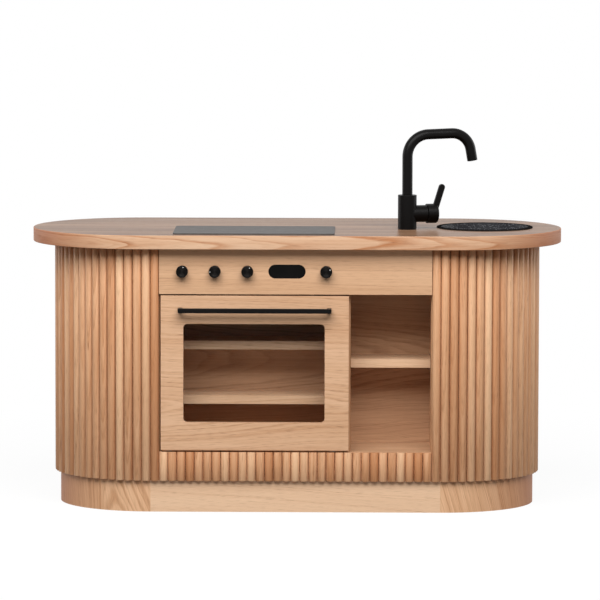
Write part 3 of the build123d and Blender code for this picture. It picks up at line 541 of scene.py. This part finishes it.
def slat_row(name, replaced, places, high, seed):
    """Strips at (x, y, facing angle): the section turned by the angle and carried from the plinth
    up to high, its ends eased. Each strip gets a tone and its own place in the log."""
    rng = np.random.default_rng(seed)
    places = np.asarray(places, float)
    levels = np.array([PLINTH_TOP, PLINTH_TOP + EASED, high - EASED, high])
    sections = np.stack([slat_profile(inset) for inset in (EASED, 0, 0, EASED)])
    c, s = np.cos(places[:, 2])[:, None, None], np.sin(places[:, 2])[:, None, None]
    out, side = sections[None, ..., 0], sections[None, ..., 1]
    x = places[:, 0, None, None] + out * c - side * s
    y = places[:, 1, None, None] + out * s + side * c
    count, rows, columns = x.shape
    points = np.stack([x, y, np.broadcast_to(levels[None, :, None], x.shape)], -1)
    starts = np.arange(count)[:, None, None] * rows * columns
    quads = starts + np.array(grid_faces(rows, columns, wrap_columns=True))
    rim = np.arange(columns)
    ends = starts + np.stack([rim[::-1], rim + (rows - 1) * columns])
    faces = quads.reshape(-1, 4).tolist() + ends.reshape(-1, columns).tolist()
    made = piece(name, points, faces, "cabinet", slat_oak, "oak_slats", replaced)
    centres = np.concatenate([places[:, :2], np.zeros((count, 1))], 1)
    seeds = rng.uniform(-20, 20, (count, 3)) * (1, 1, 0) + rng.uniform(-4000, 4000, (count, 1)) * (0, 0, 1)
    keep_places(made, "strip_seed", np.repeat(seeds - centres, rows * columns, 0))
    tones = np.repeat(rng.random(count), rows * columns).astype(np.float32)
    made.data.attributes.new("strip_tone", "FLOAT", "POINT").data.foreach_set("value", tones)


offsets = (np.arange(FRONT_SLATS) - FRONT_SLATS // 2) * PITCH
for side, way, seed in (("left", -1, 10), ("right", 1, 12)):
    angles = np.radians(-90.0 * way + (np.arange(END_SLATS) + 0.5) * 180 / END_SLATS)
    round_end = np.stack([way * STRAIGHT_HALF + BODY_RADIUS * np.cos(angles), BODY_RADIUS * np.sin(angles),
                          angles], -1)
    beside = [[way * offsets[-1], -BODY_RADIUS, -pi / 2]]
    slat_row(f"{side}_end_oak_strips", f"{side}_end_slats", np.concatenate([round_end, beside]),
             WORKTOP_UNDERSIDE, seed)
slat_row("back_oak_strips", "back_slats", [(x, BODY_RADIUS, pi / 2) for x in offsets], WORKTOP_UNDERSIDE, 21)
slat_row("apron_oak_strips", "apron_slats", [(x, -BODY_RADIUS, -pi / 2) for x in offsets[1:-1]],
         APRON_TOP, 33)


# Worktop and plinth bends: the figure runs along the edge as on bent wood, so each point keeps
# its place along the board, straight part plus radius times angle, in an attribute

def along_board(points, half, radius, thickness):
    """Place on the unrolled board: x on the straight part, then radius * angle round the ends,
    the front face's y less the depth into the wood, and z. The angle starts at the front or the
    back, whichever is nearer, so the back mirrors the front. Flat faces keep their own x and y."""
    x, y, z = points.T
    straight = np.clip(x, -half, half)
    dx = np.abs(x - straight)
    reach = np.hypot(dx, y)
    angle = np.arctan2(dx, np.abs(y))
    run = straight + np.sign(x) * radius * angle
    rolled = np.stack([run, reach - radius - radius, z], -1)
    return np.where((reach > radius - thickness)[:, None], rolled, points)


TOP_HALF, TOP_RADIUS, TOP_OVER = 347.8, 252.0, 1.5
EDGE_ROWS = TOP_OVER + 0.1       # deep enough for the rounded edge's rows, and not for the flat faces
SINK_X, TAP_X, TAP_Y = 426.2, 249.8, -54.0
SINK_CUT, TAP_DRILLED, LEVEL_FACE = 100.95, 10.5, 0.99
holes = [circle(SINK_CUT, SINK_X)[::-1], circle(TAP_DRILLED, TAP_X, TAP_Y, 32)[::-1]]
points, faces = slab([capsule(2 * TOP_HALF, TOP_RADIUS, 96), *holes], WORKTOP_UNDERSIDE, WORKTOP, TOP_OVER)
worktop = piece("oak_worktop_board", points, faces, "cabinet", edge_oak, "oak_worktop", "countertop")
# The top faces take the darker face material: painted shade
second_material(worktop, shaded_top_oak, "normal", LEVEL_FACE)
keep_places(worktop, "board_place", along_board(points, TOP_HALF, TOP_RADIUS, EDGE_ROWS))

PLINTH_RADIUS, PLINTH_BOARD = 213.5, 19.0
WHOLE_BOARD = 30.0               # more than the board, so all its points are unrolled
for side, way in (("left", -1), ("right", 1)):
    outer = arc(PLINTH_RADIUS, -90, 90, steps=64)
    inner = arc(PLINTH_RADIUS - PLINTH_BOARD, 90, -90, steps=64)
    loop = np.concatenate([outer, inner]) * (way, 1) + (way * STRAIGHT_HALF, 0)
    points, faces = slab([loop[::way]], 0.0, PLINTH_TOP)
    bend = piece(f"plinth_{side}_bend", points, faces, "cabinet", bend_oak, "oak_bent_board",
                 f"plinth_{side}_end")
    keep_places(bend, "board_place", along_board(points, STRAIGHT_HALF, PLINTH_RADIUS, WHOLE_BOARD))

# Hob, display and door handle

HOB_WIDTH, HOB_DEPTH, HOB_CORNER, HOB_X, HOB_Y, HOB_PROUD = 361.5, 207.0, 12.0, -94.0, -118.5, 3.0
hob = slab([rectangle(HOB_WIDTH, HOB_DEPTH, HOB_CORNER, HOB_X, HOB_Y)],
           WORKTOP - HOB_PROUD, WORKTOP + HOB_PROUD, 0.8)
piece("hob_grey_sheet", *hob, "cabinet", hob_grey, "hob_sheet", "hob_panel")

KNOB_Z, DISPLAY_X, DISPLAY_BETWEEN, DISPLAY_RADIUS, DISPLAY_THICK = 543.0, -19.2, 52.0, 15.5, 3.0
display = slab([capsule(DISPLAY_BETWEEN, DISPLAY_RADIUS)], -DISPLAY_THICK, 0.0, 0.4)
piece("display_black_sheet", *placed(display, (DISPLAY_X, FRONT_FACE, KNOB_Z), *FORWARDS), "cabinet",
      display_black, "display_sheet", "display_window")

DOOR_MIDDLE, HANDLE_HALF, BAR, HANDLE_Z, HANDLE_REACH = -91.0, 171.5, 10.4, 456.5, 28.0
front, back, gap = FRONT_FACE - HANDLE_REACH, FRONT_FACE, FRONT_FACE - HANDLE_REACH + BAR
outline = rounded([(-HANDLE_HALF, front), (HANDLE_HALF, front), (HANDLE_HALF, back),
                   (HANDLE_HALF - BAR, back), (HANDLE_HALF - BAR, gap), (BAR - HANDLE_HALF, gap),
                   (BAR - HANDLE_HALF, back), (-HANDLE_HALF, back)],
                  (1.8, 1.8, 1.8, 1.8, 1.0, 1.0, 1.8, 1.8), 5)
handle = slab([outline + (DOOR_MIDDLE, 0)], HANDLE_Z - BAR / 2, HANDLE_Z + BAR / 2, 1.2)
piece("handle_black_bar", *handle, "oven_door", coat, "black_metal", "door_handle")

# Knobs: turned discs with a shallow dish, and a white dot let into each. The profile, (radius,
# height), runs from the middle of the back, up the side and over the rim into the dish.

KNOB_BACK, KNOB_STEPS, DOT_RADIUS, DOT_DEPTH = FRONT_FACE - 1.6, 72, 10.2, 15.6
knob_profile = np.concatenate([
    [(0.05, 0.0), (12.6, 0.0), (12.9, 0.0), (13.25, 0.35)],
    [(13.25, 1.0), (13.25, 14.2)],
    arc(1.2, 0, 90, 12.05, 14.8, 5),
    [(11.8, 16.0), (9.0, 16.0), (8.6, 15.98)],
    rounded([(8.3, 15.9), (7.2, 15.2), (4.0, 15.2)], (0, 1.0, 0), 5, closed=False),
    [(2.0, 15.2), (0.05, 15.2)]])
dot = turned([(0.02, 0.0), (1.0, 0.0), (1.1, 0.1), (1.0, 0.43), (0.8, 0.46), (0.02, 0.46)], 24)

# The knobs' UV: x is the turn round the axis and y the radius in mm, and the two caps have none
spans = np.arange(KNOB_STEPS)[None, :, None] + np.array([0, 1, 1, 0])
u = np.broadcast_to(spans / KNOB_STEPS, (len(knob_profile) - 1, KNOB_STEPS, 4))
radius = knob_profile[:, 0]
v = np.stack([radius[:-1], radius[:-1], radius[1:], radius[1:]], -1)[:, None]
uv = np.stack([u, np.broadcast_to(v, u.shape)], -1).reshape(-1, 2)
uv = np.concatenate([uv, np.zeros((2 * KNOB_STEPS, 2))]).astype(np.float32)

for number, (x, dot_angle) in enumerate(((-253.5, 75), (-180.6, 180), (-107.7, 60), (68.4, 30)), 1):
    shape = placed(turned(knob_profile, KNOB_STEPS), (x, KNOB_BACK, KNOB_Z), *FORWARDS)
    body = f"knob_{number}_body"
    knob = piece(f"knob_{number}_turned", *shape, body, knob_black, "black_knob", f"knob_{number}")
    knob.data.uv_layers.new(name="turned").uv.foreach_set("vector", uv.ravel())
    spot = (x + DOT_RADIUS * cos(radians(dot_angle)), KNOB_BACK - DOT_DEPTH,
            KNOB_Z + DOT_RADIUS * sin(radians(dot_angle)))
    piece(f"knob_{number}_dot", *placed(dot, spot, *FORWARDS), body, dot_white, "black_knob")

# Sink: a pressed bowl with a flat rim, 2 mm thick all over. The inside runs from the drain over
# the floor and up the wall, the rim lies 3 mm above the worktop, and the underside comes back.

inside = rounded([(18, -84), (82, -84), (99, 3)], (0, 38, 0), 16, closed=False)
lip = arc(0.8, 170, 90, 99.7, 2.2, 5)
rim = np.concatenate([[(102, 3), (106, 3)], arc(2.2, 90, 20, 107.2, 0.8, 5), [(109.5, 0)]])
under = rounded([(100.45, 0), (83.65, -86), (18, -86)], (0, 40, 0), 16, closed=False)
bowl = turned(np.concatenate([inside[:-1], lip, rim, under])[::-1], 128, closed=True)
sink = piece("sink_enamel_bowl", *placed(bowl, (SINK_X, 0, WORKTOP), *UPWARDS), "cabinet", enamel,
             "sink_enamel", "sink_bowl")
# The rim faces take the darker enamel, a painted shade
second_material(sink, shaded_enamel_rim, "center", (WORKTOP - 1) * MM)

# Tap: a round body with a side arm, a bent spout that turns, and a lever on its cap. The arm and
# the spout point 17 degrees to the back. The body has a shank through the worktop and a spigot
# in the spout, and the arm ends in a pin inside the cap.

TURN = radians(17.0)
ARM_WAY, ARM_SIDE = (cos(TURN), sin(TURN), 0), (sin(TURN), -cos(TURN), 0)
SHANK_END, TAP_FOOT, TAP_TOP = 561.0, WORKTOP + 1.5, WORKTOP + 78.0
TAP_RADIUS, SHANK, SPIGOT, SPIGOT_LENGTH = 21.25, 9.8, 9.42, 24.0
body_profile = np.concatenate([
    [(0.05, SHANK_END), (SHANK, SHANK_END), (SHANK, TAP_FOOT), (20.7, TAP_FOOT), (21.0, TAP_FOOT)],
    [(TAP_RADIUS, TAP_FOOT + 0.25), (TAP_RADIUS, TAP_FOOT + 1), (TAP_RADIUS, TAP_TOP - 1.6)],
    arc(1.2, 0, 90, TAP_RADIUS - 1.2, TAP_TOP - 1.2, 5),
    [(19.8, TAP_TOP), (SPIGOT, TAP_TOP), (SPIGOT, TAP_TOP + SPIGOT_LENGTH), (0.05, TAP_TOP + SPIGOT_LENGTH)]])
tap_column = placed(turned(body_profile), (TAP_X, TAP_Y, 0), *UPWARDS)
arm_profile = np.concatenate([
    [(0.05, 2.0), (19.2, 2.0), (19.2, 43.9)], arc(0.6, 0, 90, 18.6, 44.1, 4),
    [(18.3, 44.7), (9.0, 44.7), (9.0, 57.4), (0.05, 57.4)]])
ARM_ORIGIN = (TAP_X, TAP_Y, WORKTOP + 34.8)
ALONG_ARM = ((0, 0, 1), ARM_WAY)
tap_arm = placed(turned(arm_profile), ARM_ORIGIN, *ALONG_ARM)
piece("tap_black_body", *joined(tap_column, tap_arm), "cabinet", coat, "black_metal", "tap_body")

cap_profile = np.concatenate([
    [(9.08, 45.5), (20.9, 45.5)], arc(0.8, -60, 0, 21.2, 46.3, 3), [(22.0, 47.0), (22.0, 65.3)],
    arc(5.0, 0, 90, 17.0, 65.5, 8), [(16.7, 70.5), (0.05, 70.5), (0.05, 58.1), (9.08, 58.1)]])
cap = placed(turned(cap_profile, closed=True), ARM_ORIGIN, *ALONG_ARM)
piece("tap_black_cap", *cap, "lever", coat, "black_metal", "tap_lever_cap")

LEAN, LEVER_BETWEEN, LEVER_RADIUS, LEVER_THICK = radians(17.8), 49.5, 7.0, 8.0
lean_way = np.array([sin(LEAN), cos(LEAN)])
lever_middle = np.array([66.5, 12.0]) + LEVER_BETWEEN / 2 * lean_way
along = np.array([lean_way, [-cos(LEAN), sin(LEAN)]])
blade = slab([capsule(LEVER_BETWEEN, LEVER_RADIUS) @ along + lever_middle],
             -LEVER_THICK / 2, LEVER_THICK / 2, 1.6)
piece("tap_black_lever", *placed(blade, ARM_ORIGIN, ARM_WAY, ARM_SIDE), "lever", coat, "black_metal",
      "tap_lever")

# The spout's line: up the riser, over the first bend, a run that rises a little, and down the
# second bend to the outlet. A bend takes up radius * tan(half its turn) of each straight part.
SPOUT_FOOT, RISER, FIRST_BEND, RUN, SECOND_BEND, OUTLET = TAP_TOP + 0.3, 85.9, 50.0, 56.0, 44.5, 26.1
PIPE, PIPE_BORE = 11.7, 9.5
RISE, FALL = radians(1.5), radians(-79.9)
first = FIRST_BEND * tan((pi / 2 - RISE) / 2)
second = SECOND_BEND * tan((RISE - FALL) / 2)
corner = np.array([0, SPOUT_FOOT + RISER + first])
elbow = corner + (first + RUN + second) * np.array([cos(RISE), sin(RISE)])
outlet = elbow + (second + OUTLET) * np.array([cos(FALL), sin(FALL)])
path = rounded([(0, SPOUT_FOOT), corner, elbow, outlet], (0, FIRST_BEND, SECOND_BEND, 0), 28, closed=False)
path = path[:, :1] * ARM_WAY + path[:, 1:] * (0, 0, 1) + (TAP_X, TAP_Y, 0)
spout = bent_tube(path, np.array(ARM_SIDE), PIPE, PIPE_BORE, 0.7)
piece("tap_black_spout", *spout, "spout", coat, "black_metal", "tap_spout")


# Floor, light and camera. The white paper and sky are seen by the camera, in reflections and
# through the pane. Only the lamps and a dim sky light the object.

def seen_white(tree):
    """1 for camera, glossy and transmission rays, 0 for the rest."""
    ray = add_node(tree, "LightPath").outputs
    seen = add_node(tree, "Math", {0: ray["Is Camera Ray"], 1: ray["Is Glossy Ray"]}, operation="MAXIMUM")
    return add_node(tree, "Math", {0: seen.outputs[0], 1: ray["Is Transmission Ray"]},
                    operation="MAXIMUM").outputs[0]


# Matt paper that keeps a trace of the object's shadow near it and fades to white by 1.8 m away.
# It sends less light up than white paper would, as the photo's cut-out has no bright floor.
FADE_FROM, FADE_TO, WHITE_NEAR, PAPER_BOUNCE, PAPER_SEEN = 0.8, 1.8, 0.93, 0.2, 0.98
floor_mesh = bpy.data.meshes.new("studio_floor")
floor_mesh.from_pydata([(-6, -8, 0), (6, -8, 0), (6, 6, 0), (-6, 6, 0)], [], [(0, 1, 2, 3)])
floor = bpy.data.objects.new("studio_floor", floor_mesh)
bpy.context.scene.collection.objects.link(floor)
paper = bpy.data.materials.new("studio floor")
paper.use_nodes = True
tree = paper.node_tree
tree.nodes.clear()
seen = seen_white(tree)
away = add_node(tree, "TexCoord").outputs["Object"]
away = add_node(tree, "VectorMath", {0: away}, operation="LENGTH").outputs["Value"]
share = add_node(tree, "MapRange", {0: away, 1: FADE_FROM, 2: FADE_TO, 3: WHITE_NEAR, 4: 1.0}).outputs[0]
share = add_node(tree, "Math", {0: seen, 1: share}, operation="MULTIPLY").outputs[0]
shade = add_node(tree, "MapRange", {0: seen, 3: PAPER_BOUNCE, 4: PAPER_SEEN}).outputs[0]
matt = add_node(tree, "BsdfDiffuse", {"Color": shade}).outputs[0]
glow = add_node(tree, "Emission", {"Color": (1, 1, 1, 1), "Strength": 1.0}).outputs[0]
both = add_node(tree, "MixShader", {0: share, 1: matt, 2: glow}).outputs[0]
add_node(tree, "OutputMaterial", {"Surface": both})
floor_mesh.materials.append(paper)

world = bpy.data.worlds.new("studio")
bpy.context.scene.world = world
world.use_nodes = True
tree = world.node_tree
tree.nodes.clear()
dim = add_node(tree, "Background", {"Color": (1, 1, 1, 1), "Strength": 0.06}).outputs[0]
bright = add_node(tree, "Background", {"Color": (1, 1, 1, 1), "Strength": 1.0}).outputs[0]
both = add_node(tree, "MixShader", {0: seen_white(tree), 1: dim, 2: bright}).outputs[0]
add_node(tree, "OutputWorld", {"Surface": both})


def soft_box(name, place, aim, size, power):
    """A rectangular area lamp at place that faces aim."""
    lamp = bpy.data.lights.new(name, "AREA")
    lamp.shape, lamp.size, lamp.size_y = "RECTANGLE", size[0], size[1]
    lamp.energy = power
    made = bpy.data.objects.new(name, lamp)
    bpy.context.scene.collection.objects.link(made)
    made.location = place
    made.rotation_euler = (Vector(aim) - Vector(place)).to_track_quat("-Z", "Y").to_euler()


# A wide key above the camera, and a weak lamp behind each end for the round slats
soft_box("key_soft_box", (-0.1, -3.3, 3.6), (0, -0.1, 0.45), (5.6, 3.0), 345)
soft_box("left_soft_box", (-3.4, 1.2, 1.3), (0, 0, 0.4), (2.4, 1.6), 36)
soft_box("right_soft_box", (3.4, 1.2, 1.3), (0, 0, 0.4), (2.4, 1.6), 36)

# The camera fitted to the photo's outlines: far away, so nearly parallel, and 4.8 degrees above
CAMERA_PLACE, CAMERA_AIM, CAMERA_ROLL = (0.175, -11.381, 1.567), (0.0067, 0.0, 0.4577), radians(0.13)
camera_data = bpy.data.cameras.new("camera")
camera_data.sensor_width = 36.0
camera_data.lens = 301.2
camera_data.clip_end = 60.0
camera = bpy.data.objects.new("camera", camera_data)
bpy.context.scene.collection.objects.link(camera)
camera.location = CAMERA_PLACE
look = (Vector(CAMERA_AIM) - Vector(CAMERA_PLACE)).to_track_quat("-Z", "Y")
camera.rotation_mode = "QUATERNION"
camera.rotation_quaternion = look @ Matrix.Rotation(CAMERA_ROLL, 3, "Z").to_quaternion()
bpy.context.scene.camera = camera
bpy.context.scene.view_settings.view_transform = "Standard"
